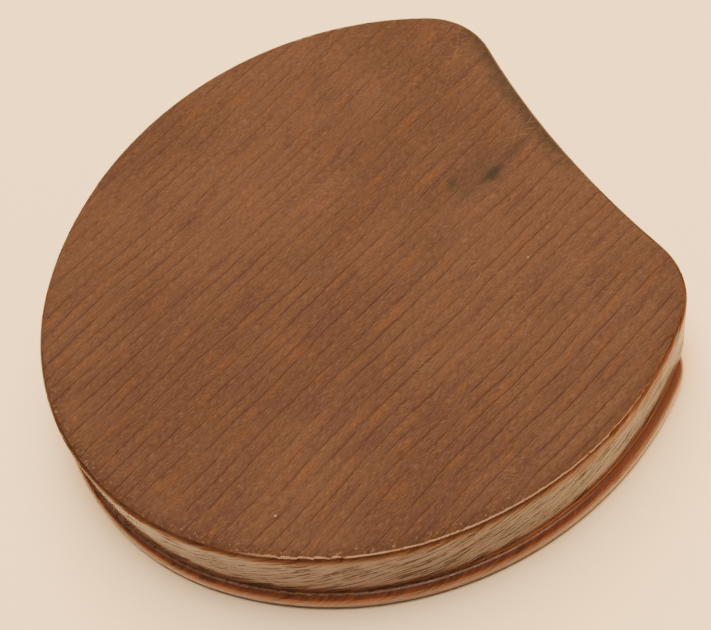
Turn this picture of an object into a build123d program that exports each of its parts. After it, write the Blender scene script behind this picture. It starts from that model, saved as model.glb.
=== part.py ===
# Card dealing shoe: a closed round oak case with a concave front, standing on a beaded base board.
# Millimetres, +Z up, +X is the dealing side (the concave front), origin under the centre of the case.
# The cover turns on a pivot near the back to open the card well for loading.  A sprung follower
# presses the pack on to the base board; the bottom card is drawn out through the throat at the front
# with a fingertip in the notch of the base board.
from math import acos, atan2, cos, degrees, hypot, pi, radians, sin
import os
from build123d import *

os.makedirs("parts", exist_ok=True)

# ---- outline of the case (plan view, four tangent arcs each side) -------------------------------
R_BACK = 74.0            # round back
BACK_HALF_ANGLE = 39.6   # degrees of the back arc each side of the centre line
R_SIDE = 99.0            # flatter side arcs
R_CORNER = 22.0          # rounded front corners
R_BITE = 284.0           # concave front
BITE_CENTRE = 368.4      # from the centre of the back arc to the centre of the concave front
BASE_CORNER = 14.5       # front corners of the base board
SETBACK = 8.3            # the base board stops this far short of the concave front

# ---- heights ------------------------------------------------------------------------------------
BASE_H = 6.2             # base board
COVER_Z = 6.45           # underside of the cover, it rides just clear of the base board
CASE_H = 30.0            # top face of the cover
CEILING_Z = 25.8         # roof of the card well

# ---- edges --------------------------------------------------------------------------------------
RIM_PROUD = 2.2          # the beaded rim stands out from the wall
RIM_TOP_R = 2.3          # bead, upper round
RIM_FOOT_R = 2.0         # bead, lower round
TOP_R = 2.0              # round-over of the top face
FOOT_R = 0.7             # small round under the wall

# ---- the pack and its well ----------------------------------------------------------------------
CARD_L, CARD_W = 88.9, 63.5
WELL_PLAY = 0.8          # room left each side of the pack
WELL_CORNER_R = 1.5
WALL_FRONT = 12.0        # thickness of the front wall at the middle
EAR_X, EAR_Y = 12.6, 6.4  # side recesses in which the follower bar runs
STOP_PLATE_Y = 12.8      # bed of a follower stop, across the mouth of its recess
THROAT_H = 3.0           # mouth cut through the front wall
THROAT_TOP = 20.0        # upper end of the throat plate's bed
SLOT_GAP = 0.5           # gap under the throat plate, one card passes and two do not
FOLLOWER_PLAY = 0.25     # each side, between the follower and the well
RIVET_R = 1.0
RIVET_Y = (-28.0, -8.0, 8.0, 28.0)
BAR_PLAY = 0.3           # each side, between the follower bar and its recesses
STOP_OVER = 4.0          # a follower stop is this much longer than the mouth of its recess
STOP_SCREW_OUT = 3.6     # from the middle of a follower stop out to its screw
THROAT_SCREW_Y, THROAT_SCREW_Z = 24.0, 16.0

# ---- finger notch -------------------------------------------------------------------------------
NOTCH_W = 22.0
NOTCH_DEPTH = 24.0       # from the front edge of the wall
FELT_INSET = 8.0         # the felt lies in a bed this far inside the bead
FELT_PLAY = 0.3          # room round the felt in its bed
FELT_BACK = 2.0          # the felt stops this far from the edge of the notch
LIP_REACH = 7.0          # the lip reaches this far behind the notch
LIP_MARGIN = 0.4         # flat left between the lip and the bead
LIP_HALF = 36.0          # half of the lip's width
LIP_SCREW_IN = (4.0, 5.0)  # from the lip's edges to its screws, lengthwise and across

# ---- pivot, swing stop and closing magnets --------------------------------------------------------
PIVOT_X = -58.0
PIVOT_R = 2.5            # shank of the pivot screw
BUSH_R, BUSH_L = 4.5, 11.8
SLEEVE_R, FLANGE_R = 4.0, 7.0
FLANGE_BED = 0.6
SCREW_HEAD_R = 4.9       # pivot screw
SCREW_HEAD_Z = 0.9
SCREW_HEAD_TOP = 3.0
PIVOT_PLAY = 0.05        # radial clearance of the pivot
STOP_ARM = 14.0          # distance of the stop pin from the pivot
STOP_R = 1.8
STOP_SUNK, STOP_UP = 4.2, 3.0
STOP_HALF = 50.0         # half of the opening angle, degrees
MAGNET_X, MAGNET_Y = 52.0, 54.0   # a pair, one each side near the front
MAGNET_R, MAGNET_H = 4.0, 3.0
KEEPER_T = 1.2
BUSH_SPARE = 0.8         # the pivot screw ends this far short of the bush's end
GROOVE_PLAY = 0.4        # each side of the stop pin in its groove
GROOVE_H = 3.6
GROOVE_SPARE = 1.0       # the groove runs this many degrees past the opening angle

# ---- small sheet-metal and fastener sizes -------------------------------------------------------
LIP_T = 0.8              # brass lip, inlaid flush
PLATE_T = 1.0            # follower, follower bar, follower stops
THROAT_T = 1.2
LEAF_T, LEAF_W = 0.4, 10.0
LEAF_Y = 16.0            # the two leaf springs lie either side of the centre line
LEAF_HALF = 36.0         # half of the span of a leaf at rest
FELT_T = 0.8
SCREW_R = 1.1            # wood screw shank
HEAD_R = 2.1             # countersunk head
HEAD_H = 0.8
LONG_SCREW, SHORT_SCREW = 4.4, 2.4   # shank lengths below the head
ROOF_SCREW = 3.1
SINK_ANGLE = 2 * degrees(atan2(HEAD_R - SCREW_R, HEAD_H))
FIT = 0.05               # clearance round an inlaid or pressed piece
SUNK = 0.02              # screw heads lie this far under the surface
HOLE_SPARE = 0.4         # a screw hole is this much deeper than its screw
DRIVER_W, DRIVER_D = 0.5, 0.4    # slot of a small screw
PIVOT_SLOT_W, PIVOT_SLOT_D = 1.2, 0.9
EDGE_BREAK = 0.4         # small chamfers


def on_circle(cx, cy, r, angle):
    return (cx + r * cos(angle), cy + r * sin(angle))


COVER_PLAN = (R_BACK, R_SIDE, R_CORNER, R_BITE, BITE_CENTRE)
BASE_PLAN = (R_BACK + RIM_PROUD, R_SIDE + RIM_PROUD, BASE_CORNER, R_BITE, BITE_CENTRE - SETBACK)
turn = pi - radians(BACK_HALF_ANGLE)      # where the back arc meets a side arc


def centres(plan):
    """Centres of the side and corner arcs, and the angles at which the arcs meet smoothly."""
    back, side, corner, bite, bite_cx = plan
    side_c = on_circle(0, 0, back - side, turn)
    to_side, to_bite = side - corner, bite + corner
    span = hypot(bite_cx - side_c[0], side_c[1])
    lean = acos((to_side**2 + span**2 - to_bite**2) / (2 * to_side * span))
    corner_angle = atan2(-side_c[1], bite_cx - side_c[0]) + lean
    corner_c = on_circle(*side_c, to_side, corner_angle)
    bite_angle = atan2(-corner_c[1], bite_cx - corner_c[0])
    return side_c, corner_c, corner_angle, bite_angle


# puts the origin at the middle of the whole length, bead at the back to corner tips at the front
X_SHIFT = (R_BACK + RIM_PROUD - centres(COVER_PLAN)[1][0] - R_CORNER) / 2
bite_x = BITE_CENTRE - R_BITE + X_SHIFT            # deepest point of the concave front
base_front = bite_x - SETBACK

# positions that follow from the ones above
well_front = bite_x - WALL_FRONT
well_l, well_w = CARD_L + 2 * WELL_PLAY, CARD_W + 2 * WELL_PLAY
well_x = well_front - well_l / 2
throat_w = well_w - 2 * WELL_CORNER_R - 0.2
slot_top = BASE_H + SLOT_GAP
follower_z = COVER_Z + 0.1
bar_z = follower_z + PLATE_T
notch_x = bite_x - NOTCH_DEPTH
lip_back, lip_front = notch_x - LIP_REACH, base_front - RIM_TOP_R - LIP_MARGIN


def outline(plan, grow=0.0):
    """Plan of the cover or the base board as a face, grown by grow all round."""
    side_c, corner_c, corner_angle, bite_angle = centres(plan)
    back, side, corner = (r + grow for r in plan[:3])
    a = [on_circle(0, 0, back, turn),
         on_circle(*side_c, side, (turn + corner_angle) / 2),
         on_circle(*side_c, side, corner_angle),
         on_circle(*corner_c, corner, (corner_angle + bite_angle) / 2),
         on_circle(*corner_c, corner, bite_angle)]
    up = [(x + X_SHIFT, y) for x, y in a]
    down = [(x, -y) for x, y in up]
    with BuildSketch() as sk:
        with BuildLine():
            ThreePointArc(down[0], (X_SHIFT - back, 0), up[0])
            ThreePointArc(*up[0:3])
            ThreePointArc(*up[2:5])
            ThreePointArc(up[4], (plan[4] - plan[3] + grow + X_SHIFT, 0), down[4])
            ThreePointArc(*down[0:3])
            ThreePointArc(*down[2:5])
        make_face()
    return sk.sketch


def notch_face(grow=0.0):
    """U-shaped finger notch, open to the front."""
    with BuildSketch() as sk:
        with Locations((notch_x + NOTCH_W / 2, 0)):
            Circle(NOTCH_W / 2 + grow)
        with Locations((notch_x + NOTCH_W / 2 + 20, 0)):
            Rectangle(40, NOTCH_W + 2 * grow)
    return sk.sketch


def countersunk(shank_len):
    """Flat-head screw pointing down, top of its head at z = 0."""
    with BuildPart() as screw:
        with Locations((0, 0, -HEAD_H / 2)):
            Cone(SCREW_R, HEAD_R, HEAD_H)
        with Locations((0, 0, -HEAD_H - shank_len / 2)):
            Cylinder(SCREW_R, shank_len)
        with Locations((0, 0, 0)):
            Box(2 * HEAD_R, DRIVER_W, 2 * DRIVER_D, mode=Mode.SUBTRACT)
    return screw.part


def keep(builder, name):
    builder.part.label = name
    export_step(builder.part, f"parts/{name}.step")


# fastener places
lip_screws_at = [(x, s * (LIP_HALF - LIP_SCREW_IN[1]))
                 for x in (lip_back + LIP_SCREW_IN[0], lip_front - LIP_SCREW_IN[0]) for s in (-1, 1)]
magnets_at = [(MAGNET_X, s * MAGNET_Y) for s in (-1, 1)]
throat_screws_at = (-THROAT_SCREW_Y, THROAT_SCREW_Y)
stop_screw_y = well_w / 2 + EAR_Y + STOP_SCREW_OUT
stop_at = (PIVOT_X + STOP_ARM * cos(radians(STOP_HALF)), STOP_ARM * sin(radians(STOP_HALF)))
groove_half = STOP_HALF + GROOVE_SPARE

# ==================================== base =======================================================
with BuildPart() as base_board:
    extrude(outline(BASE_PLAN), BASE_H)
    fillet(base_board.faces().sort_by(Axis.Z)[-1].edges(), RIM_TOP_R)
    fillet(base_board.faces().sort_by(Axis.Z)[0].edges(), RIM_FOOT_R)
    # bed for the felt
    extrude(outline(BASE_PLAN, -FELT_INSET), FELT_T, mode=Mode.SUBTRACT)
    # finger notch
    extrude(notch_face(), BASE_H, mode=Mode.SUBTRACT)
    # bed for the brass lip
    with BuildSketch(Plane.XY.offset(BASE_H - LIP_T - FIT)):
        with Locations(((lip_back + lip_front) / 2, 0)):
            Rectangle(lip_front - lip_back + 2 * FIT, 2 * LIP_HALF + 2 * FIT)
    extrude(amount=LIP_T + FIT, mode=Mode.SUBTRACT)
    # beds for the two keeper discs
    with Locations([(x, y, BASE_H) for x, y in magnets_at]):
        Hole(MAGNET_R + FIT, depth=KEEPER_T + FIT)
    # holes for the wood screws
    with Locations([(x, y, BASE_H - LIP_T) for x, y in lip_screws_at + magnets_at]):
        Hole(SCREW_R + FIT, depth=HEAD_H + SHORT_SCREW + HOLE_SPARE - LIP_T)
    # pivot sleeve, its flange and the screw head below it
    with Locations((PIVOT_X, 0, BASE_H)):
        Hole(SLEEVE_R + FIT, depth=BASE_H)
        Hole(FLANGE_R + FIT, depth=FLANGE_BED)
    with Locations((PIVOT_X, 0, SCREW_HEAD_TOP + 0.1)):
        Hole(SCREW_HEAD_R + 0.3, depth=SCREW_HEAD_TOP + 0.1)
    # swing stop pin
    with Locations((*stop_at, BASE_H)):
        Hole(STOP_R + FIT, depth=STOP_SUNK)
keep(base_board, "base_board")

with BuildPart() as base_felt:
    extrude(outline(BASE_PLAN, -FELT_INSET - FELT_PLAY), FELT_T)
    extrude(notch_face(grow=FELT_BACK), FELT_T, mode=Mode.SUBTRACT)
    with Locations((PIVOT_X, 0, FELT_T)):
        Hole(SCREW_HEAD_R + 1.1, depth=FELT_T)
keep(base_felt, "base_felt")

with BuildPart() as card_lip:
    with BuildSketch(Plane.XY.offset(BASE_H - LIP_T)):
        with Locations(((lip_back + lip_front) / 2, 0)):
            Rectangle(lip_front - lip_back, 2 * LIP_HALF)
        add(notch_face(), mode=Mode.SUBTRACT)
    extrude(amount=LIP_T)
    with Locations([(x, y, BASE_H) for x, y in lip_screws_at]):
        CounterSinkHole(SCREW_R + FIT, HEAD_R + FIT, counter_sink_angle=SINK_ANGLE)
keep(card_lip, "card_lip")

with BuildPart() as lip_screws:
    with Locations([(x, y, BASE_H - SUNK) for x, y in lip_screws_at]):
        add(countersunk(SHORT_SCREW))
keep(lip_screws, "lip_screws")

with BuildPart() as pivot_sleeve:
    with BuildSketch(Plane.XY.offset(SCREW_HEAD_TOP + 0.1)):
        with Locations((PIVOT_X, 0)):
            Circle(SLEEVE_R)
    extrude(amount=BASE_H - SCREW_HEAD_TOP - 0.1)
    with BuildSketch(Plane.XY.offset(BASE_H - FLANGE_BED)):
        with Locations((PIVOT_X, 0)):
            Circle(FLANGE_R)
    extrude(amount=COVER_Z - 0.02 - BASE_H + FLANGE_BED)
    with Locations((PIVOT_X, 0, COVER_Z)):
        Hole(PIVOT_R + PIVOT_PLAY)
keep(pivot_sleeve, "pivot_sleeve")

with BuildPart() as stop_pin:
    with BuildSketch(Plane.XY.offset(BASE_H - STOP_SUNK)):
        with Locations(stop_at):
            Circle(STOP_R)
    extrude(amount=STOP_SUNK + STOP_UP)
    chamfer(stop_pin.faces().sort_by(Axis.Z)[-1].edges(), EDGE_BREAK)
keep(stop_pin, "stop_pin")

with BuildPart() as keeper_discs:
    with BuildSketch(Plane.XY.offset(BASE_H - KEEPER_T)):
        with Locations(magnets_at):
            Circle(MAGNET_R)
    extrude(amount=KEEPER_T)
    with Locations([(x, y, BASE_H) for x, y in magnets_at]):
        CounterSinkHole(SCREW_R + FIT, HEAD_R + FIT, counter_sink_angle=SINK_ANGLE)
keep(keeper_discs, "keeper_discs")

with BuildPart() as keeper_screws:
    with Locations([(x, y, BASE_H - SUNK) for x, y in magnets_at]):
        add(countersunk(SHORT_SCREW))
keep(keeper_screws, "keeper_screws")

# ==================================== cover ======================================================
with BuildPart() as case_cover:
    extrude(Plane.XY.offset(COVER_Z) * outline(COVER_PLAN), CASE_H - COVER_Z)
    fillet(case_cover.faces().sort_by(Axis.Z)[-1].edges(), TOP_R)
    fillet(case_cover.faces().sort_by(Axis.Z)[0].edges(), FOOT_R)
    # card well with the two side recesses
    with BuildSketch(Plane.XY.offset(COVER_Z)):
        with Locations((well_x, 0)):
            RectangleRounded(well_l, well_w, WELL_CORNER_R)
            Rectangle(EAR_X, well_w + 2 * EAR_Y)
    extrude(amount=CEILING_Z - COVER_Z, mode=Mode.SUBTRACT)
    # beds of the follower stops at the mouth of the side recesses
    with BuildSketch(Plane.XY.offset(COVER_Z)):
        with Locations([(well_x, s * (well_w / 2 + EAR_Y)) for s in (-1, 1)]):
            Rectangle(EAR_X + STOP_OVER + 2 * FIT, STOP_PLATE_Y + 2 * FIT)
    extrude(amount=PLATE_T + FIT, mode=Mode.SUBTRACT)
    with Locations([(well_x, s * stop_screw_y, COVER_Z) for s in (-1, 1)]):
        Cylinder(SCREW_R + FIT, 2 * (HEAD_H + SHORT_SCREW + HOLE_SPARE), mode=Mode.SUBTRACT)
    # bed of the throat plate in the front wall, and the mouth through the wall
    with Locations((well_front + (THROAT_T + FIT) / 2, 0, (COVER_Z + THROAT_TOP) / 2)):
        Box(THROAT_T + FIT, throat_w + 0.2, THROAT_TOP - COVER_Z, mode=Mode.SUBTRACT)
    with Locations((well_front + WALL_FRONT, 0, COVER_Z + THROAT_H / 2)):
        Box(2 * WALL_FRONT, well_w, THROAT_H, mode=Mode.SUBTRACT)
    with Locations([Plane((well_front, y, THROAT_SCREW_Z), z_dir=(1, 0, 0)) for y in throat_screws_at]):
        Cylinder(SCREW_R + FIT, 2 * (HEAD_H + LONG_SCREW + HOLE_SPARE), mode=Mode.SUBTRACT)
    # screws of the leaf springs, blind in the roof
    with Locations([(well_x, s * LEAF_Y, CEILING_Z) for s in (-1, 1)]):
        Cylinder(SCREW_R + FIT, 2 * (ROOF_SCREW - LEAF_T + 0.2), mode=Mode.SUBTRACT)
    # pivot bush and closing magnets, blind from below
    with Locations((PIVOT_X, 0, COVER_Z)):
        Cylinder(BUSH_R + FIT, 2 * (BUSH_L + 0.2), mode=Mode.SUBTRACT)
    with Locations([(x, y, COVER_Z) for x, y in magnets_at]):
        Cylinder(MAGNET_R + FIT, 2 * (MAGNET_H + FIT), mode=Mode.SUBTRACT)
    # curved groove in which the stop pin runs
    with BuildSketch(Plane.XY.offset(COVER_Z)):
        with Locations((PIVOT_X, 0)):
            SlotArc(CenterArc((0, 0), STOP_ARM, -groove_half, 2 * groove_half), 2 * (STOP_R + GROOVE_PLAY))
    extrude(amount=GROOVE_H, mode=Mode.SUBTRACT)
keep(case_cover, "case_cover")

with BuildPart() as throat_plate:
    with BuildSketch(Plane((well_front, 0, 0), x_dir=(0, 1, 0), z_dir=(1, 0, 0))):
        with Locations((0, (slot_top + THROAT_TOP - 0.2) / 2)):
            Rectangle(throat_w, THROAT_TOP - 0.2 - slot_top)
    extrude(amount=THROAT_T)
    # lead-in for the cards along the lower edge
    chamfer(throat_plate.edges().filter_by(Axis.Y).sort_by(Axis.Z)[0], EDGE_BREAK)
    with Locations([Plane((well_front, y, THROAT_SCREW_Z), z_dir=(-1, 0, 0)) for y in throat_screws_at]):
        CounterSinkHole(SCREW_R + FIT, HEAD_R + FIT, counter_sink_angle=SINK_ANGLE)
keep(throat_plate, "throat_plate")

with BuildPart() as throat_screws:
    with Locations([Plane((well_front + SUNK, y, THROAT_SCREW_Z), z_dir=(-1, 0, 0))
                    for y in throat_screws_at]):
        add(countersunk(LONG_SCREW))
keep(throat_screws, "throat_screws")

with BuildPart() as pivot_bush:
    with BuildSketch(Plane.XY.offset(COVER_Z)):
        with Locations((PIVOT_X, 0)):
            Circle(BUSH_R)
            Circle(PIVOT_R, mode=Mode.SUBTRACT)
    extrude(amount=BUSH_L)
keep(pivot_bush, "pivot_bush")

with BuildPart() as pivot_screw:
    with BuildSketch(Plane.XY.offset(SCREW_HEAD_Z)):
        with Locations((PIVOT_X, 0)):
            Circle(SCREW_HEAD_R)
    extrude(amount=SCREW_HEAD_TOP - SCREW_HEAD_Z)
    chamfer(pivot_screw.faces().sort_by(Axis.Z)[0].edges(), EDGE_BREAK)
    with BuildSketch(Plane.XY.offset(SCREW_HEAD_TOP)):
        with Locations((PIVOT_X, 0)):
            Circle(PIVOT_R)
    extrude(amount=COVER_Z + BUSH_L - BUSH_SPARE - SCREW_HEAD_TOP)
    with Locations((PIVOT_X, 0, SCREW_HEAD_Z)):
        Box(3 * SCREW_HEAD_R, PIVOT_SLOT_W, 2 * PIVOT_SLOT_D, mode=Mode.SUBTRACT)
keep(pivot_screw, "pivot_screw")

with BuildPart() as closing_magnets:
    with BuildSketch(Plane.XY.offset(COVER_Z)):
        with Locations(magnets_at):
            Circle(MAGNET_R)
    extrude(amount=MAGNET_H)
keep(closing_magnets, "closing_magnets")

# ==================================== follower ===================================================
with BuildPart() as follower_plate:
    with BuildSketch(Plane.XY.offset(follower_z)):
        with Locations((well_x, 0)):
            RectangleRounded(well_l - 2 * FOLLOWER_PLAY, well_w - 2 * FOLLOWER_PLAY, WELL_CORNER_R + 1)
    extrude(amount=PLATE_T)
    with Locations([(well_x, y, bar_z) for y in RIVET_Y]):
        Hole(RIVET_R)
keep(follower_plate, "follower_plate")

with BuildPart() as follower_bar:
    with BuildSketch(Plane.XY.offset(bar_z)):
        with Locations((well_x, 0)):
            RectangleRounded(EAR_X - 2 * BAR_PLAY, well_w + 2 * (EAR_Y - BAR_PLAY), WELL_CORNER_R)
    extrude(amount=PLATE_T)
    with Locations([(well_x, y, bar_z + PLATE_T) for y in RIVET_Y]):
        Hole(RIVET_R)
keep(follower_bar, "follower_bar")

with BuildPart() as follower_rivets:
    with BuildSketch(Plane.XY.offset(follower_z + SUNK)):
        with Locations([(well_x, y) for y in RIVET_Y]):
            Circle(RIVET_R)
    extrude(amount=2 * PLATE_T - SUNK)
keep(follower_rivets, "follower_rivets")

# a leaf springs down from the roof to the follower in one arc
leaf_top, leaf_foot = CEILING_Z - 0.02, bar_z + 0.05
with BuildPart() as follower_springs:
    for s in (-1, 1):
        with BuildSketch(Plane((well_x, s * LEAF_Y, 0), x_dir=(1, 0, 0), z_dir=(0, -1, 0))):
            with BuildLine():
                ThreePointArc((-LEAF_HALF, leaf_foot), (0, leaf_top), (LEAF_HALF, leaf_foot))
                Line((LEAF_HALF, leaf_foot), (LEAF_HALF - LEAF_T, leaf_foot))
                ThreePointArc((LEAF_HALF - LEAF_T, leaf_foot), (0, leaf_top - LEAF_T),
                              (LEAF_T - LEAF_HALF, leaf_foot))
                Line((LEAF_T - LEAF_HALF, leaf_foot), (-LEAF_HALF, leaf_foot))
            make_face()
        extrude(amount=LEAF_W / 2, both=True)
    with Locations([(well_x, s * LEAF_Y, leaf_top) for s in (-1, 1)]):
        Hole(SCREW_R + FIT, depth=2.0)
keep(follower_springs, "follower_springs")

with BuildPart() as spring_screws:
    with BuildSketch(Plane.XY.offset(leaf_top - LEAF_T - 0.04 - HEAD_H)):
        with Locations([(well_x, s * LEAF_Y) for s in (-1, 1)]):
            Circle(HEAD_R)
    extrude(amount=HEAD_H)
    with BuildSketch(Plane.XY.offset(leaf_top - LEAF_T - 0.04)):
        with Locations([(well_x, s * LEAF_Y) for s in (-1, 1)]):
            Circle(SCREW_R)
    extrude(amount=ROOF_SCREW)
keep(spring_screws, "spring_screws")

with BuildPart() as follower_stops:
    with BuildSketch(Plane.XY.offset(COVER_Z)):
        with Locations([(well_x, s * (well_w / 2 + EAR_Y)) for s in (-1, 1)]):
            Rectangle(EAR_X + STOP_OVER, STOP_PLATE_Y - 2 * BAR_PLAY)
    extrude(amount=PLATE_T)
    with Locations([Plane((well_x, s * stop_screw_y, COVER_Z), z_dir=(0, 0, -1)) for s in (-1, 1)]):
        CounterSinkHole(SCREW_R + FIT, HEAD_R + FIT, counter_sink_angle=SINK_ANGLE)
keep(follower_stops, "follower_stops")

with BuildPart() as stop_screws:
    with Locations([Plane((well_x, s * stop_screw_y, COVER_Z + SUNK), z_dir=(0, 0, -1)) for s in (-1, 1)]):
        add(countersunk(SHORT_SCREW))
keep(stop_screws, "stop_screws")
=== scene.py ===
import math

import bmesh
import bpy
from mathutils import Matrix, Vector


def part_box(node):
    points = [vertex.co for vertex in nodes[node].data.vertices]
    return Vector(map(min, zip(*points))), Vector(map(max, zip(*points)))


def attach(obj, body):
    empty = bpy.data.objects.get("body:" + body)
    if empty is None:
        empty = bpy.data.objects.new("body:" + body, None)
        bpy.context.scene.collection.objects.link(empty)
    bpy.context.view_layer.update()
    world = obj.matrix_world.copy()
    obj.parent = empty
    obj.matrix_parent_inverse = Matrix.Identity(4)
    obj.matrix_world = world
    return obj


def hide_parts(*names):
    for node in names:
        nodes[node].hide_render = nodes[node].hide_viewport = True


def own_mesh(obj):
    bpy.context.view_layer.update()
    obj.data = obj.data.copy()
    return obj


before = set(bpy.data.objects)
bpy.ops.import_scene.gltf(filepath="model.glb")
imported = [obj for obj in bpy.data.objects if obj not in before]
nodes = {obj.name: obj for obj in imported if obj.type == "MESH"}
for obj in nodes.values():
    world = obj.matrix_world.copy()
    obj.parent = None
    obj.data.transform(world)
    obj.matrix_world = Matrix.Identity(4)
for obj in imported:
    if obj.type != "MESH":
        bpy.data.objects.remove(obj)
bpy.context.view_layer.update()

MM = 0.001
GRAIN = math.radians(15.5)   # the grain runs this far round from +X
FRONT, RISE = math.radians(-12.0), 0.42   # direction of the front wall, and slope of the grain along it


# ------------------------------------------------------------------ node helpers
class Graph:
    """A material's node tree, with short calls for the nodes used here."""

    def __init__(self, name):
        self.mat = bpy.data.materials.new(name)
        self.mat.use_nodes = True
        self.t = self.mat.node_tree
        self.t.nodes.clear()
        self.out = self.t.nodes.new("ShaderNodeOutputMaterial")
        self.bsdf = self.t.nodes.new("ShaderNodeBsdfPrincipled")
        self.t.links.new(self.bsdf.outputs[0], self.out.inputs[0])

    def put(self, socket, value):
        if isinstance(value, bpy.types.NodeSocket):
            self.t.links.new(value, socket)
        elif value is not None:
            socket.default_value = value

    def math(self, op, a, b=None, c=None, clamp=False):
        n = self.t.nodes.new("ShaderNodeMath")
        n.operation, n.use_clamp = op, clamp
        for i, v in enumerate((a, b, c)):
            self.put(n.inputs[i], v)
        return n.outputs[0]

    def map(self, v, scale=(1, 1, 1), rot=(0, 0, 0), loc=(0, 0, 0)):
        n = self.t.nodes.new("ShaderNodeMapping")
        self.put(n.inputs[0], v)
        n.inputs["Location"].default_value = loc
        n.inputs["Rotation"].default_value = rot
        n.inputs["Scale"].default_value = scale
        return n.outputs[0]

    def noise(self, v, scale=1.0, detail=2.0, rough=0.5):
        n = self.t.nodes.new("ShaderNodeTexNoise")
        self.put(n.inputs["Vector"], v)
        n.inputs["Scale"].default_value = scale
        n.inputs["Detail"].default_value = detail
        n.inputs["Roughness"].default_value = rough
        return n.outputs[0]

    def cells(self, v, scale=1.0):
        """Distance to the nearest of a set of scattered points."""
        n = self.t.nodes.new("ShaderNodeTexVoronoi")
        self.put(n.inputs["Vector"], v)
        n.inputs["Scale"].default_value = scale
        return n.outputs[0]

    def step(self, x, lo, hi, a=0.0, b=1.0):
        """Smooth ramp of x from lo to hi, giving a to b."""
        n = self.t.nodes.new("ShaderNodeMapRange")
        n.interpolation_type = "SMOOTHSTEP"
        self.put(n.inputs["Value"], x)
        n.inputs["From Min"].default_value = lo
        n.inputs["From Max"].default_value = hi
        n.inputs["To Min"].default_value = a
        n.inputs["To Max"].default_value = b
        return n.outputs[0]

    def mix(self, f, a, b, kind="MIX"):
        n = self.t.nodes.new("ShaderNodeMix")
        n.data_type, n.blend_type = "RGBA", kind
        self.put(n.inputs[0], f)
        self.put(n.inputs[6], a)
        self.put(n.inputs[7], b)
        return n.outputs[2]

    def mix_value(self, f, a, b):
        n = self.t.nodes.new("ShaderNodeMix")
        n.data_type = "FLOAT"
        self.put(n.inputs[0], f)
        self.put(n.inputs[2], a)
        self.put(n.inputs[3], b)
        return n.outputs[0]

    def within(self, x, lo, hi, soft=0.2):
        """1 where x lies between lo and hi, fading to 0 over soft."""
        return self.math("MULTIPLY", self.step(x, lo - soft, lo), self.step(x, hi, hi + soft, 1.0, 0.0))

    def split(self, v):
        n = self.t.nodes.new("ShaderNodeSeparateXYZ")
        self.put(n.inputs[0], v)
        return n.outputs

    def join(self, x, y, z):
        n = self.t.nodes.new("ShaderNodeCombineXYZ")
        for i, v in enumerate((x, y, z)):
            self.put(n.inputs[i], v)
        return n.outputs[0]

    def stretch(self, x, y, z, fx, fy, fz):
        return self.join(*(self.math("MULTIPLY", a, f) for a, f in ((x, fx), (y, fy), (z, fz))))

    def object_mm(self):
        n = self.t.nodes.new("ShaderNodeTexCoord")
        return self.map(n.outputs["Object"], scale=(1 / MM,) * 3)

    def bump(self, height, distance_mm, strength):
        n = self.t.nodes.new("ShaderNodeBump")
        n.inputs["Strength"].default_value = strength
        n.inputs["Distance"].default_value = distance_mm * MM
        self.put(n.inputs["Height"], height)
        return n.outputs[0]

    def set(self, **values):
        for k, v in values.items():
            self.put(self.bsdf.inputs[k.replace("_", " ")], v)
        return self.mat


def srgb(r, g, b):
    def lin(c):
        c /= 255
        return c / 12.92 if c <= 0.04045 else ((c + 0.055) / 1.055) ** 2.4
    return (lin(r), lin(g), lin(b), 1)


# ------------------------------------------------------------------ colours and marks
FACE_DARK, FACE_LIGHT = srgb(127, 86, 61), srgb(143, 99, 71)
FACE_PURPLE, FACE_ORANGE = srgb(117, 76, 61), srgb(162, 102, 60)
FACE_DEEP, FACE_PALE, FACE_LINE = srgb(94, 58, 36), srgb(182, 132, 96), srgb(80, 49, 37)
GRIME, SCRATCH, SPECK = srgb(74, 66, 50), srgb(190, 142, 98), srgb(218, 184, 144)
# the pore colour also serves as painted shade at the cover's foot
WALL_DARK, WALL_LIGHT, WALL_PORE_AND_SHADE = srgb(56, 27, 28), srgb(90, 49, 49), srgb(32, 19, 14)
EDGE_DARK, EDGE_LIGHT, EDGE_WARM = srgb(84, 49, 33), srgb(112, 68, 46), srgb(128, 62, 34)
EDGE_GRIMED = srgb(112, 84, 60)
# pale varnish chips, also used as a painted highlight on the ridge and the bead's top edge
VARNISH_CHIP_AND_HIGHLIGHT = srgb(222, 174, 136)
# the pale bead colour serves both for wear and for painted light
BEAD_DARK, BEAD_LIGHT, BEAD_WEAR_AND_LIGHT = srgb(104, 52, 34), srgb(146, 82, 54), srgb(190, 124, 86)
BEAD_RED = srgb(136, 66, 40)
BOARD_DARK, BOARD_LIGHT, RAW_OAK = srgb(138, 88, 50), srgb(170, 118, 74), srgb(168, 122, 80)
# grime: centre x and y, half length, half width, turn in degrees, strength
SMUDGES = ((57.8, 3.4, 7.2, 2.6, 12, 0.84), (47.0, 7.4, 5.0, 3.0, 50, 0.60), (66.5, 6.5, 10.5, 3.0, 8, 0.50),
           (53.0, 6.0, 19.0, 7.5, 5, 0.28))
# scratches: direction in degrees, lines per millimetre across, seed
SCRATCHES = ((-30, 2.0, 3.0), (-20, 1.8, 11.0), (-42, 2.0, 19.0), (38, 1.6, 27.0))

lo, hi = (Vector(c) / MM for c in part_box("follower_plate"))
WELL = (lo, hi)                                          # the card well, all but its running gap
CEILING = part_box("follower_springs")[1][2] / MM          # the springs hang from the well's roof
COVER_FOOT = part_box("case_cover")[0][2] / MM
BOARD_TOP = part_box("base_board")[1][2] / MM
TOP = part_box("case_cover")[1][2] / MM                    # the flat face of the cover
DULL_FROM, DULL_TO = TOP - 0.26, TOP - 0.18              # the rubbed face begins here on the round-over
RIDGE_FROM, RIDGE_TO = TOP - 0.39, TOP - 0.20            # and the ridge of old varnish, painted pale at the front as a highlight, lies here
BAND_DEPTH, FRESH_DEPTH = 2.8, 3.4   # depth of the dark band below the top, and how much more at the corner
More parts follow.
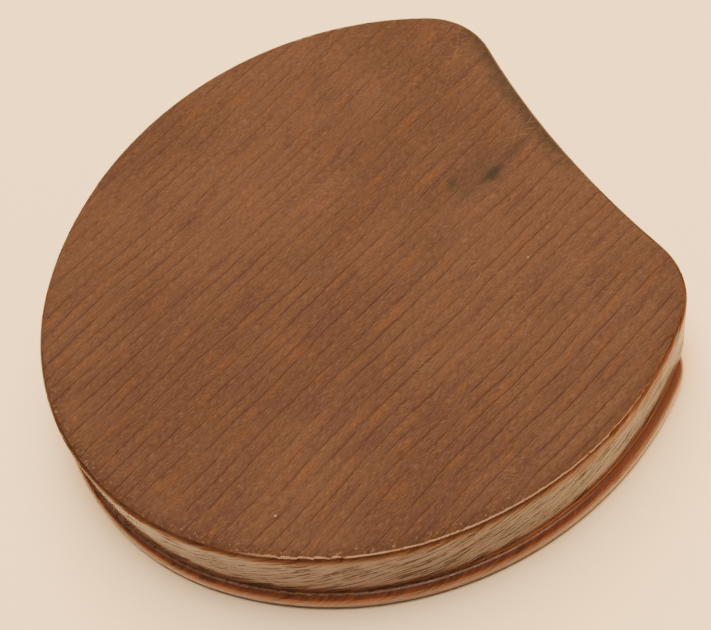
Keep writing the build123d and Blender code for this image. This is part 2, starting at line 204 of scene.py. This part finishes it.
# the cover's outline, as in the CAD: centre x and y (for the side with y > 0) and radius of each arc
BACK_ARC, SIDE_ARC, CORNER_ARC = (-5.8, 0.0, 74.0), (13.47, -15.94, 99.0), (59.99, 45.42, 22.0)
BITE_ARC = (362.6, 0.0, 284.0)
SIDE_FROM, SIDE_TO = -62.8, 73.3                         # x at which the side arcs begin and end


# ------------------------------------------------------------------ oak
def along_grain(g, seed):
    """Millimetres: x along the grain, y across it, z up, and v, the distance across the rings."""
    x, y, z = g.split(g.map(g.object_mm(), rot=(0, 0, -GRAIN), loc=(seed * 37.0, seed * 11.0, seed * 5.0)))
    slow = g.noise(g.stretch(x, y, z, 0.014, 0.022, 0.02), detail=1)
    quick = g.noise(g.stretch(x, y, z, 0.09, 0.13, 0.13), detail=2)
    v = g.math("SUBTRACT", y, z)      # the rings lean at 45 degrees
    v = g.math("ADD", v, g.math("MULTIPLY", g.math("SUBTRACT", slow, 0.5), 7.0))
    v = g.math("ADD", v, g.math("MULTIPLY", g.math("SUBTRACT", quick, 0.5), 1.4))
    return x, y, z, v


def ring_lines(g, x, v, spacing, width, fragment, cover, seed):
    """Thin dark lines along the grain, broken into fragments; sizes in mm, cover is the share drawn."""
    drift = g.noise(g.join(g.math("MULTIPLY", v, 0.22 / spacing), seed, 0.0), detail=1)
    phase = g.math("ADD", g.math("DIVIDE", v, spacing), g.math("MULTIPLY", drift, 1.6))
    ring = g.math("FRACT", phase)
    w = width / spacing
    thin = g.math("MULTIPLY", g.step(ring, 0.0, w * 0.5), g.step(ring, w * 0.5, w, 1.0, 0.0))
    row = g.math("MULTIPLY", g.math("FLOOR", phase), 7.31)
    piece = g.noise(g.join(g.math("DIVIDE", x, fragment), row, seed), detail=2)
    lo = 0.70 - 0.42 * cover
    return g.math("MULTIPLY", thin, g.step(piece, lo, lo + 0.16)), ring


def oak_face(g):
    """Colour and height of the rubbed top: dull brown, fine fibre, soft streaks, broken dark lines."""
    x, y, z, v = along_grain(g, 0.0)
    raw = g.object_mm()
    X, Y, _ = g.split(raw)
    broad = g.noise(g.stretch(x, y, z, 0.020, 0.030, 0.02), detail=3)
    colour = g.mix(g.step(broad, 0.35, 0.65), FACE_DARK, FACE_LIGHT)
    tint = g.step(g.noise(g.stretch(x, v, z, 0.05, 0.20, 0.2), detail=3), 0.50, 0.72)
    colour = g.mix(g.math("MULTIPLY", tint, 0.68), colour, FACE_PURPLE)
    glow = g.step(g.noise(g.join(g.math("MULTIPLY", x, 0.08), g.math("MULTIPLY", v, 0.36), 9.0), detail=3),
                  0.52, 0.72)
    colour = g.mix(g.math("MULTIPLY", glow, 0.60), colour, FACE_ORANGE)
    # fibre: streaks about a millimetre long, and finer flecks across them
    fibre = g.noise(g.stretch(x, v, z, 0.52, 4.2, 4.2), detail=3, rough=0.62)
    colour = g.mix(g.step(fibre, 0.56, 0.24, 0.0, 0.60), colour, FACE_DEEP)
    colour = g.mix(g.step(fibre, 0.46, 0.76, 0.0, 0.60), colour, FACE_PALE)
    fleck = g.noise(g.stretch(x, g.math("ADD", y, g.math("MULTIPLY", x, 0.45)), z, 0.9, 3.4, 3.4), detail=2,
                    rough=0.65)
    colour = g.mix(g.step(fleck, 0.50, 0.80, 0.0, 0.60), colour, FACE_DEEP)
    colour = g.mix(g.step(fleck, 0.46, 0.18, 0.0, 0.45), colour, FACE_PALE)
    # the dark lines are stronger towards the left
    left = g.math("ADD", g.math("MULTIPLY", X, -0.5), g.math("MULTIPLY", Y, -0.9))
    near = g.step(left, -70.0, 30.0, 0.62, 1.0)
    main, ring = ring_lines(g, x, v, 3.6, 0.74, 15.0, 0.72, 1.0)
    core, _ = ring_lines(g, x, v, 3.6, 0.42, 8.0, 0.55, 1.0)
    soft = g.math("MULTIPLY", g.step(ring, 0.02, 0.12), g.step(ring, 0.16, 0.70, 1.0, 0.0))
    fine, _ = ring_lines(g, x, v, 1.5, 0.50, 7.0, 0.50, 5.0)
    colour = g.mix(g.math("MULTIPLY", g.math("MULTIPLY", soft, near), 0.30), colour, FACE_PURPLE)
    colour = g.mix(g.math("MULTIPLY", g.math("MULTIPLY", fine, near), 0.30), colour, FACE_LINE)
    colour = g.mix(g.math("MULTIPLY", g.math("MULTIPLY", main, near), 0.50), colour, FACE_LINE)
    colour = g.mix(g.math("MULTIPLY", g.math("MULTIPLY", core, near), 0.45), colour, FACE_LINE)
    # marks of use
    colour = g.mix(smudges(g, X, Y, raw), colour, GRIME)
    colour = g.mix(scratches(g, X, Y, raw), colour, SCRATCH)
    dots = g.cells(g.join(X, Y, 0.0), scale=0.085)
    size = g.noise(g.join(X, Y, 3.0), scale=0.06, detail=1)
    dot = g.math("LESS_THAN", dots, g.math("MULTIPLY", g.step(size, 0.42, 0.70), 0.045))
    colour = g.mix(g.math("MULTIPLY", dot, 0.75), colour, SPECK)
    # rubbed border: pale chips and dark pits
    border = g.math("MULTIPLY", g.step(edge_distance(g, X, Y), 2.2, 5.0, 1.0, 0.0), g.step(left, -5.0, 45.0))
    grit = g.noise(g.join(X, Y, 5.0), scale=1.1, detail=3, rough=0.7)
    colour = g.mix(g.math("MULTIPLY", border, 0.28), colour, FACE_DEEP)
    border = g.math("MULTIPLY", border, g.step(X, 24.0, 0.0))
    colour = g.mix(g.math("MULTIPLY", border, g.step(grit, 0.59, 0.70, 0.0, 0.50)), colour, SPECK)
    colour = g.mix(g.math("MULTIPLY", border, g.step(grit, 0.44, 0.34, 0.0, 0.50)), colour, FACE_LINE)
    height = g.math("SUBTRACT", g.math("MULTIPLY", fibre, 0.5), g.math("MULTIPLY", main, 0.7))
    return colour, height


def edge_distance(g, X, Y):
    """How far a point of the flat face lies inside the cover's outline, in millimetres."""
    side = g.math("ABSOLUTE", Y)

    def from_centre(arc):
        dx, dy = g.math("SUBTRACT", X, arc[0]), g.math("SUBTRACT", side, arc[1])
        return g.math("SQRT", g.math("ADD", g.math("MULTIPLY", dx, dx), g.math("MULTIPLY", dy, dy)))

    inside = [g.math("SUBTRACT", arc[2], from_centre(arc)) for arc in (BACK_ARC, SIDE_ARC, CORNER_ARC)]
    d = g.mix_value(g.step(X, SIDE_FROM - 1, SIDE_FROM + 1), inside[0], inside[1])
    d = g.mix_value(g.step(X, SIDE_TO - 1, SIDE_TO + 1), d, inside[2])
    return g.math("MINIMUM", d, g.math("SUBTRACT", from_centre(BITE_ARC), BITE_ARC[2]))


def from_bite(g, X, Y):
    """How far a point lies in from the concave side, in millimetres."""
    dx = g.math("SUBTRACT", X, BITE_ARC[0])
    away = g.math("SQRT", g.math("ADD", g.math("MULTIPLY", dx, dx), g.math("MULTIPLY", Y, Y)))
    return g.math("SUBTRACT", away, BITE_ARC[2])


def smudges(g, X, Y, raw):
    """Grime: a few finger marks near the concave edge and a worn dirty band along it."""
    rag = g.noise(raw, scale=0.22, detail=4, rough=0.65)
    total = None
    for cx, cy, along, across, turn, strength in SMUDGES:
        c, s = math.cos(math.radians(turn)), math.sin(math.radians(turn))
        dx, dy = g.math("SUBTRACT", X, cx), g.math("SUBTRACT", Y, cy)
        u = g.math("ADD", g.math("MULTIPLY", dx, c / along), g.math("MULTIPLY", dy, s / along))
        w = g.math("SUBTRACT", g.math("MULTIPLY", dy, c / across), g.math("MULTIPLY", dx, s / across))
        r = g.math("SQRT", g.math("ADD", g.math("MULTIPLY", u, u), g.math("MULTIPLY", w, w)))
        r = g.math("ADD", r, g.math("MULTIPLY", g.math("SUBTRACT", rag, 0.5), 1.2))
        spot = g.step(r, 0.15, 1.05, strength, 0.0)
        total = spot if total is None else g.math("MAXIMUM", total, spot)
    inward = g.math("ADD", from_bite(g, X, Y), g.math("MULTIPLY", g.math("SUBTRACT", rag, 0.5), 5.0))
    band = g.math("MULTIPLY", g.step(inward, 0.0, 7.5, 0.68, 0.0), g.within(Y, 0.0, 60.0, 14.0))
    return g.math("MAXIMUM", total, band)


def scratches(g, X, Y, raw):
    """Fine pale scratches in several directions, kept to a few patches."""
    patch = g.step(g.noise(raw, scale=0.045, detail=3), 0.48, 0.60)
    patch = g.math("MULTIPLY", patch, g.step(X, -30.0, 35.0, 0.25, 1.0))
    total = None
    for turn, per_mm, seed in SCRATCHES:
        c, s = math.cos(math.radians(turn)), math.sin(math.radians(turn))
        u = g.math("ADD", g.math("MULTIPLY", X, c), g.math("MULTIPLY", Y, s))
        w = g.math("SUBTRACT", g.math("MULTIPLY", Y, c), g.math("MULTIPLY", X, s))
        bend = g.noise(g.join(g.math("MULTIPLY", u, 0.03), seed, 0.0), detail=1)
        n = g.noise(g.join(g.math("MULTIPLY", u, 0.11), g.math("ADD", g.math("MULTIPLY", w, per_mm),
                                                             g.math("MULTIPLY", bend, 5.0)), seed), detail=1)
        line = g.step(n, 0.63, 0.76)
        total = line if total is None else g.math("MAXIMUM", total, line)
    return g.math("MULTIPLY", g.math("MULTIPLY", total, patch), 0.34)


def wall_grain(g, X, Y, Z, seed):
    """Streaks and dark pore dashes that run round a wall and rise to the right along its front."""
    bend = g.noise(g.stretch(X, Y, Z, 0.05, 0.05, 0.05), detail=1)
    rise = g.math("ADD", g.math("MULTIPLY", X, -RISE * math.cos(FRONT)),
                  g.math("MULTIPLY", Y, -RISE * math.sin(FRONT)))
    w = g.math("ADD", g.math("ADD", Z, rise), g.math("MULTIPLY", bend, 6.0))
    streak = g.noise(g.stretch(X, Y, w, 0.05, 0.05, 1.2), detail=4, rough=0.62)
    pores = g.noise(g.join(g.math("MULTIPLY", X, 0.12), g.math("MULTIPLY", Y, 0.12),
                           g.math("ADD", g.math("MULTIPLY", w, 1.25), seed)), detail=2)
    gate = g.noise(g.stretch(X, Y, w, 0.4, 0.4, 1.9), detail=2)
    dash = g.math("MULTIPLY", g.step(pores, 0.51, 0.59), g.step(gate, 0.32, 0.46))
    return streak, dash


def cover_material():
    g = Graph("oak cover")
    face, face_height = oak_face(g)
    raw = g.object_mm()
    X, Y, Z = g.split(raw)
    streak, dash = wall_grain(g, X, Y, Z, 0.0)
    wall = g.mix(g.step(streak, 0.32, 0.66), WALL_DARK, WALL_LIGHT)
    wall = g.mix(g.math("MULTIPLY", dash, 0.7), wall, WALL_PORE_AND_SHADE)
    front = g.step(X, 42.0, 10.0)
    # painted shade: the wall's foot is darkened towards the front, in the corner above the bead
    painted_shade_at_foot = g.math("MULTIPLY", g.step(Z, COVER_FOOT + 0.6, COVER_FOOT + 2.4, 0.25, 0.0), front)
    wall = g.mix(painted_shade_at_foot, wall, WALL_PORE_AND_SHADE)
    # the front right corner, clear of the concave side and its round-over: its foot is painted paler, as
    # painted light against the shade there
    corner = g.math("MULTIPLY", g.step(from_bite(g, X, Y), 2.2, 6.0), g.step(Y, -14.0, -34.0))
    painted_light_at_foot = g.math("MULTIPLY", g.step(Z, COVER_FOOT + 0.6, COVER_FOOT + 2.8, 0.80, 0.0),
                  g.step(X, -20.0, 20.0))
    painted_light_at_foot = g.math("MULTIPLY", painted_light_at_foot, corner)
    wall = g.mix(painted_light_at_foot, wall, BEAD_WEAR_AND_LIGHT)
    # the round-over is rubbed darker, redder at that corner and greyer along the rest of the concave side
    edge = g.mix(g.step(streak, 0.35, 0.65), EDGE_DARK, EDGE_LIGHT)
    fresh = g.math("MULTIPLY", g.step(X, 5.0, 45.0), corner)
    edge = g.mix(fresh, edge, g.mix(g.step(streak, 0.38, 0.62), EDGE_WARM, FACE_DEEP))
    edge = g.mix(g.math("MULTIPLY", g.step(X, 56.0, 70.0), g.step(Y, -34.0, -16.0)), edge, EDGE_GRIMED)
    low = g.math("ADD", BAND_DEPTH, g.math("MULTIPLY", fresh, FRESH_DEPTH))
    turned = g.step(g.math("ADD", Z, low), TOP - 0.4, TOP + 0.4)
    wall = g.mix(turned, wall, edge)
    # its upper border, a thin ridge of old varnish, chipped along the front, where its pale colour is also a
    # painted highlight
    chip = g.noise(g.join(X, Y, 0.0), scale=0.42, detail=4, rough=0.72)
    border = g.math("ADD", Z, g.math("MULTIPLY", g.math("SUBTRACT", chip, 0.5), 0.34))
    border = g.math("ADD", border, g.math("MULTIPLY", fresh, 0.26))
    dull = g.step(border, DULL_FROM, DULL_TO)
    ridge_and_highlight = g.math("MULTIPLY", g.within(border, RIDGE_FROM, RIDGE_TO, 0.05), g.step(Y, -38.0, -56.0))
    ridge_and_highlight = g.math("MULTIPLY", ridge_and_highlight, g.math("MULTIPLY", g.step(X, -62.0, -44.0), g.step(X, 60.0, 46.0)))
    gaps = g.step(g.noise(g.join(X, Y, 7.0), scale=0.33, detail=4, rough=0.7), 0.34, 0.46, 0.25, 1.0)
    ridge_and_highlight = g.math("MULTIPLY", ridge_and_highlight, gaps)
    wall = g.mix(g.math("MULTIPLY", ridge_and_highlight, 0.9), wall, VARNISH_CHIP_AND_HIGHLIGHT)
    # unvarnished inside: the card well and the faces that meet the base board
    inside = g.math("MULTIPLY", g.within(X, WELL[0][0] - 0.4, WELL[1][0] + 0.4),
                    g.within(Y, WELL[0][1] - 0.4, WELL[1][1] + 0.4))
    inside = g.math("MULTIPLY", inside, g.step(Z, CEILING - 0.1, CEILING + 0.4, 1.0, 0.0))
    inside = g.math("MAXIMUM", inside, g.step(Z, COVER_FOOT + 0.02, COVER_FOOT + 0.12, 1.0, 0.0))
    dull = g.math("MAXIMUM", dull, inside)
    dull_face = g.math("MAXIMUM", g.math("SUBTRACT", dull, ridge_and_highlight, clamp=True), inside)
    colour = g.mix(dull_face, wall, g.mix(g.math("MULTIPLY", inside, 0.45), face, RAW_OAK))
    rubbed = g.math("MAXIMUM", ridge_and_highlight, g.math("MULTIPLY", turned, 0.55))
    shine = g.math("MULTIPLY", g.math("SUBTRACT", 1.0, dull), g.math("SUBTRACT", 1.0, rubbed))
    shine = g.math("MULTIPLY", shine, g.step(X, 30.0, 62.0, 1.0, 0.62))
    wall_height = g.math("SUBTRACT", g.math("MULTIPLY", streak, 0.5), g.math("MULTIPLY", dash, 0.8))
    wall_height = g.math("ADD", wall_height, g.math("MULTIPLY", chip, 0.25))
    g.set(Base_Color=colour,
          Roughness=g.mix_value(dull, g.step(dash, 0.0, 1.0, 0.45, 0.9), 0.74),
          Specular_IOR_Level=0.12,
          Coat_Weight=g.math("MULTIPLY", shine, g.step(dash, 0.0, 1.0, 0.9, 0.30)),
          Coat_Roughness=0.08, Coat_IOR=1.38,
          Normal=g.bump(g.mix_value(dull, wall_height, g.math("MULTIPLY", face_height, 0.4)), 0.22, 0.8))
    return g.mat


def base_material():
    g = Graph("oak base, varnished")
    X, Y, Z = g.split(g.object_mm())
    x, _, z, v = along_grain(g, 3.0)
    streak, dash = wall_grain(g, X, Y, Z, 7.0)
    fibre = g.noise(g.stretch(x, v, z, 0.5, 2.6, 2.6), detail=3, rough=0.6)
    line, _ = ring_lines(g, x, v, 4.2, 0.8, 22.0, 0.65, 2.0)
    flat = g.mix(g.step(fibre, 0.3, 0.7), BOARD_DARK, BOARD_LIGHT)
    flat = g.mix(g.math("MULTIPLY", line, 0.7), flat, FACE_LINE)
    bead = g.mix(g.step(streak, 0.32, 0.66), BEAD_DARK, BEAD_LIGHT)
    bead = g.mix(g.math("MULTIPLY", dash, 0.35), bead, WALL_PORE_AND_SHADE)
    bead = g.mix(g.step(X, 0.0, 45.0, 0.0, 0.55), bead, BEAD_RED)
    wear = g.step(g.noise(g.object_mm(), scale=0.5, detail=3, rough=0.7), 0.60, 0.72)
    bead = g.mix(g.math("MULTIPLY", wear, 0.35), bead, BEAD_WEAR_AND_LIGHT)
    bead = g.mix(g.step(Z, 1.6, 3.6, 0.35, 0.0), bead, EDGE_DARK)      # painted shade: darker towards the foot
    painted_light_on_top = g.math("MULTIPLY", g.step(Z, 4.6, 6.0, 0.0, 0.50), g.step(X, 15.0, 50.0, 0.25, 1.0))
    bead = g.mix(painted_light_on_top, bead, BEAD_WEAR_AND_LIGHT)                              # and painted light: paler on top, to the front
    under = g.step(edge_distance(g, X, Y), 0.1, 0.6)         # under the cover
    level = g.math("MAXIMUM", g.math("MULTIPLY", g.step(Z, BOARD_TOP - 0.04, BOARD_TOP - 0.01), under),
                   g.step(Z, 0.02, 0.12, 1.0, 0.0))
    colour = g.mix(level, bead, flat)
    # chipped varnish with a painted highlight: a broken pale line along the bead's top edge, to the front,
    # where the coat is taken off
    arris_chips_and_highlight = g.math("MULTIPLY", g.step(Z, BOARD_TOP - 0.16, BOARD_TOP - 0.06), g.math("SUBTRACT", 1.0, under))
    broken = g.step(g.noise(g.object_mm(), scale=0.5, detail=4, rough=0.7), 0.36, 0.54, 0.2, 1.0)
    arris_chips_and_highlight = g.math("MULTIPLY", g.math("MULTIPLY", arris_chips_and_highlight, broken), g.step(X, 40.0, 20.0))
    colour = g.mix(g.math("MULTIPLY", arris_chips_and_highlight, 0.6), colour, VARNISH_CHIP_AND_HIGHLIGHT)
    height = g.math("SUBTRACT", g.math("MULTIPLY", fibre, 0.4), g.math("MULTIPLY", dash, 0.7))
    g.set(Base_Color=colour, Roughness=g.mix_value(level, 0.40, 0.55), Specular_IOR_Level=0.2,
          Coat_Weight=g.math("SUBTRACT", 1.0, g.math("MAXIMUM", g.math("MULTIPLY", level, 0.7), arris_chips_and_highlight)),
          Coat_Roughness=0.10, Coat_IOR=1.38, Normal=g.bump(height, 0.12, 0.8))
    return g.mat


def metal(name, dark, light, rough, scratch=(30.0, 2.0, 2.0)):
    g = Graph(name)
    raw = g.object_mm()
    brushed = g.noise(g.map(raw, scale=scratch), scale=0.25, detail=3)
    spots = g.noise(raw, scale=0.12, detail=5, rough=0.6)
    colour = g.mix(g.step(spots, 0.25, 0.75), dark, light)
    r = g.math("ADD", rough, g.math("MULTIPLY", g.step(brushed, 0.3, 0.7), 0.10))
    g.set(Base_Color=colour, Metallic=1.0, Roughness=r, Normal=g.bump(brushed, 0.02, 0.5))
    return g.mat


def felt_material():
    g = Graph("green felt")
    raw = g.object_mm()
    fuzz = g.noise(raw, scale=3.5, detail=4, rough=0.7)
    clump = g.noise(raw, scale=0.5, detail=3)
    colour = g.mix(g.step(fuzz, 0.3, 0.7), srgb(28, 58, 38), srgb(52, 92, 62))
    colour = g.mix(g.math("MULTIPLY", g.step(clump, 0.4, 0.7), 0.4), colour, srgb(40, 70, 48))
    g.set(Base_Color=colour, Roughness=0.95, Specular_IOR_Level=0.15, Sheen_Weight=0.5,
          Normal=g.bump(fuzz, 0.25, 0.9))
    return g.mat


oak_cover = cover_material()
oak_base = base_material()
brass = metal("brass sheet", srgb(178, 138, 76), srgb(208, 168, 100), 0.30)
turned_brass = metal("turned brass", srgb(172, 132, 72), srgb(212, 172, 104), 0.22, (2.0, 2.0, 20.0))
steel = metal("steel", srgb(136, 136, 138), srgb(176, 176, 174), 0.28)
spring = metal("blued spring steel", srgb(78, 84, 98), srgb(104, 108, 120), 0.26)
nickel = metal("nickel plate", srgb(160, 158, 150), srgb(205, 203, 196), 0.18)
looks = {
    "case_cover": oak_cover, "base_board": oak_base, "base_felt": felt_material(),
    "card_lip": brass, "throat_plate": brass, "follower_plate": brass, "follower_bar": brass,
    "follower_stops": brass, "lip_screws": turned_brass, "throat_screws": turned_brass,
    "stop_screws": turned_brass, "pivot_sleeve": turned_brass, "pivot_bush": turned_brass,
    "follower_rivets": turned_brass,
    "pivot_screw": steel, "stop_pin": steel, "keeper_discs": steel, "keeper_screws": steel,
    "spring_screws": steel, "follower_springs": spring, "closing_magnets": nickel,
}
for name, mat in looks.items():
    data = nodes[name].data
    for i in range(max(1, len(data.materials))):
        if i < len(data.materials):
            data.materials[i] = mat
        else:
            data.materials.append(mat)


# ------------------------------------------------------------------ leaf springs
LEAF_WIDTH, LEAF_THICK, TIP_WIDTH = 10.0 * MM, 0.4 * MM, 6.0 * MM
LEAF_STEPS = 48                                          # along each leaf
LEAF_BREAK = 0.07 * MM                                   # bevel of its edges
SPARE_HANG = 1.03                                        # leaves the feet a hair clear of the box


def leaf_springs():
    """Two arched leaves, hung by their crowns from the well's roof, with tapered feet on the follower."""
    low, high = (Vector(c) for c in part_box("follower_springs"))
    half, tall, middle = (high.x - low.x) / 2, high.z - low.z, (high.x + low.x) / 2
    # a foot is cut square to the leaf, so its inner edge hangs below the outer one
    hang = LEAF_THICK * (half * half - tall * tall) / (half * half + tall * tall)
    rise = tall - SPARE_HANG * hang
    radius = (half * half + rise * rise) / (2 * rise)
    reach = math.asin(half / radius)
    bm = bmesh.new()
    for leaf_y in (low.y + LEAF_WIDTH / 2, high.y - LEAF_WIDTH / 2):
        rings = []
        for i in range(LEAF_STEPS + 1):
            share = 2 * i / LEAF_STEPS - 1               # -1 at one foot, 1 at the other
            a = reach * share
            w = (LEAF_WIDTH + (TIP_WIDTH - LEAF_WIDTH) * abs(share) ** 6) / 2
            rings.append([bm.verts.new((middle + r * math.sin(a), leaf_y + across,
                                        high.z - radius + r * math.cos(a)))
                          for r, across in ((radius, -w), (radius, w),
                                            (radius - LEAF_THICK, w), (radius - LEAF_THICK, -w))])
        for one, two in zip(rings, rings[1:]):
            for k in range(4):
                bm.faces.new((one[k], one[(k + 1) % 4], two[(k + 1) % 4], two[k]))
        bm.faces.new(rings[0][::-1])
        bm.faces.new(rings[-1])
    bmesh.ops.recalc_face_normals(bm, faces=bm.faces)
    edges = [e for e in bm.edges if e.calc_face_angle(0) > math.radians(40)]
    bmesh.ops.bevel(bm, geom=edges, offset=LEAF_BREAK, segments=2, affect="EDGES", profile=0.5)
    mesh = bpy.data.meshes.new("leaf_springs")
    bm.to_mesh(mesh)
    bm.free()
    mesh.materials.append(spring)
    for p in mesh.polygons:
        p.use_smooth = True
    o = bpy.data.objects.new("leaf_springs", mesh)
    bpy.context.scene.collection.objects.link(o)
    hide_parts("follower_springs")
    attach(o, "cover")
    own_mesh(o)


leaf_springs()


# ------------------------------------------------------------------ floor, light, camera
def floor_material():
    g = Graph("paper backdrop")
    raw = g.object_mm()
    mottled = g.noise(raw, scale=0.004, detail=2)
    g.set(Base_Color=g.mix(mottled, (0.89, 0.79, 0.67, 1), (0.91, 0.81, 0.69, 1)), Roughness=0.9,
          Specular_IOR_Level=0.1)
    return g.mat


bpy.ops.mesh.primitive_plane_add(size=6.0, location=(0, 0, -0.0001))
floor = bpy.context.object
floor.name = "floor"
floor.data.materials.append(floor_material())

world = bpy.data.worlds.new("studio")
bpy.context.scene.world = world
world.use_nodes = True
world.node_tree.nodes["Background"].inputs[0].default_value = (1.0, 0.93, 0.86, 1)
world.node_tree.nodes["Background"].inputs[1].default_value = 0.16

backdrop_only = bpy.data.collections.new("lit by the backdrop lamps")
backdrop_only.objects.link(floor)


def soft_light(name, place, size, power, colour=(1.0, 0.90, 0.78), only=None):
    data = bpy.data.lights.new(name, "AREA")
    data.shape, data.size, data.energy, data.color = "DISK", size, power, colour
    o = bpy.data.objects.new(name, data)
    bpy.context.scene.collection.objects.link(o)
    o.location = place
    o.rotation_mode = "QUATERNION"
    o.rotation_quaternion = Vector(place).to_track_quat("Z", "Y")
    if only is not None:
        o.light_linking.receiver_collection = only
    return o


soft_light("overhead", (0.05, 0.00, 1.0), 0.42, 7.2)
soft_light("side", (0.4, 0.7, 0.75), 0.5, 2.5)
soft_light("backdrop lamp", (0.60, 0.62, 2.35), 2.7, 226.0, colour=(1.0, 0.60, 0.18), only=backdrop_only)

AZ, EL, ROLL = math.radians(-15.98), math.radians(59.54), math.radians(-16.93)
TARGET, DISTANCE = Vector((8.26, 3.99, 0)) * MM, 435.9 * MM
back = Vector((math.sin(AZ) * math.cos(EL), -math.cos(AZ) * math.cos(EL), math.sin(EL)))
right = Vector((math.cos(AZ), math.sin(AZ), 0))
up = back.cross(right)
side = right * math.cos(ROLL) + up * math.sin(ROLL)
top = up * math.cos(ROLL) - right * math.sin(ROLL)
cam_data = bpy.data.cameras.new("camera")
cam_data.lens, cam_data.sensor_width = 75.95, 36.0
cam_data.clip_start, cam_data.clip_end = 0.01, 20
cam = bpy.data.objects.new("camera", cam_data)
bpy.context.scene.collection.objects.link(cam)
m = Matrix((side, top, back)).transposed().to_4x4()
m.translation = TARGET + back * DISTANCE
cam.matrix_world = m
bpy.context.scene.camera = cam
